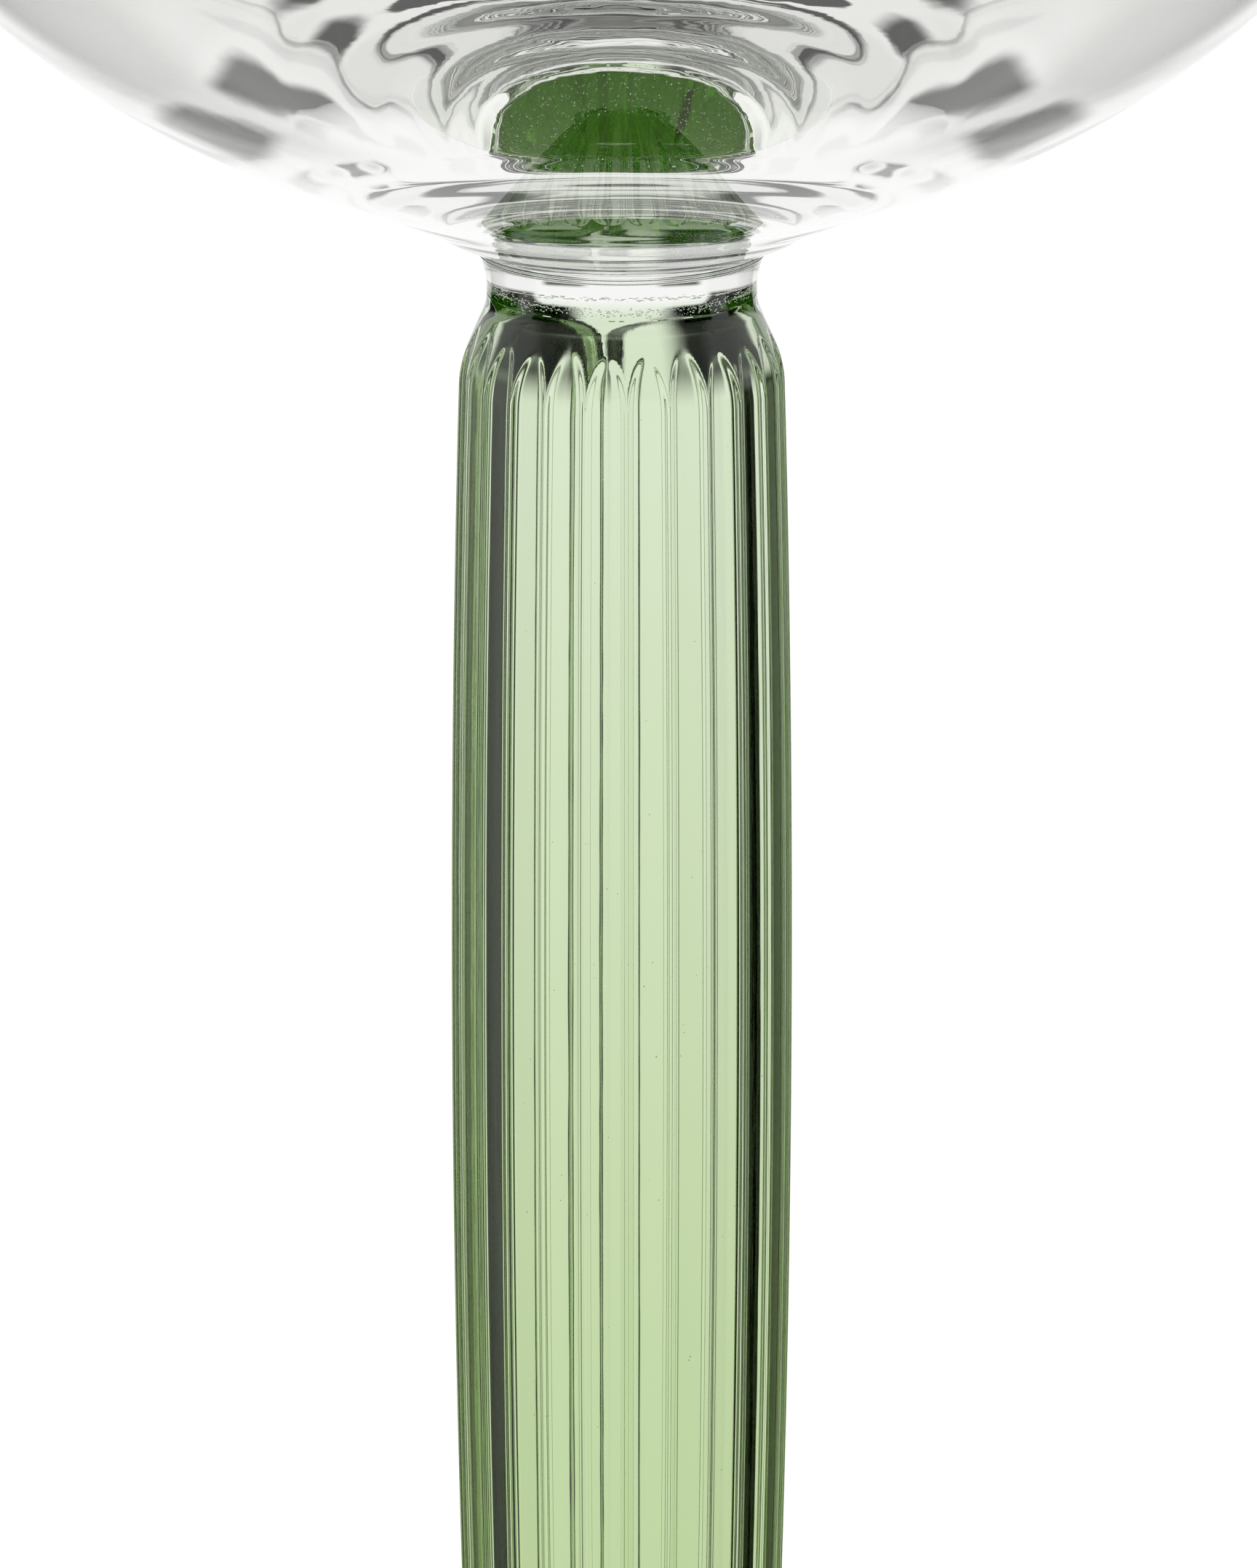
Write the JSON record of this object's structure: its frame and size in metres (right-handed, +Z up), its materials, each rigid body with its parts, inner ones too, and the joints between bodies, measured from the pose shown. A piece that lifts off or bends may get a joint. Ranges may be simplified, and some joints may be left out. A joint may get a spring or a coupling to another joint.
{
  "type": "wine glass",
  "caption": "Stemmed wine glass: clear blown bowl with a thick base, fused to a fluted green glass column stem on a domed green foot.",
  "frame": {"origin": "centre of the foot's resting ring, on the table", "axes": "+Z up along the axis of the stem and bowl; +X and +Y lie in the table, all sides alike"},
  "size_m": [0.084, 0.084, 0.2],
  "materials": {
    "clear_glass": "polished",
    "green_glass": "polished"
  },
  "bodies": {
    "root": {"foot": "green_glass", "foot_collar": "green_glass", "stem": "green_glass", "neck_collar": "clear_glass", "bowl": "clear_glass"}
  },
  "joints": []
}
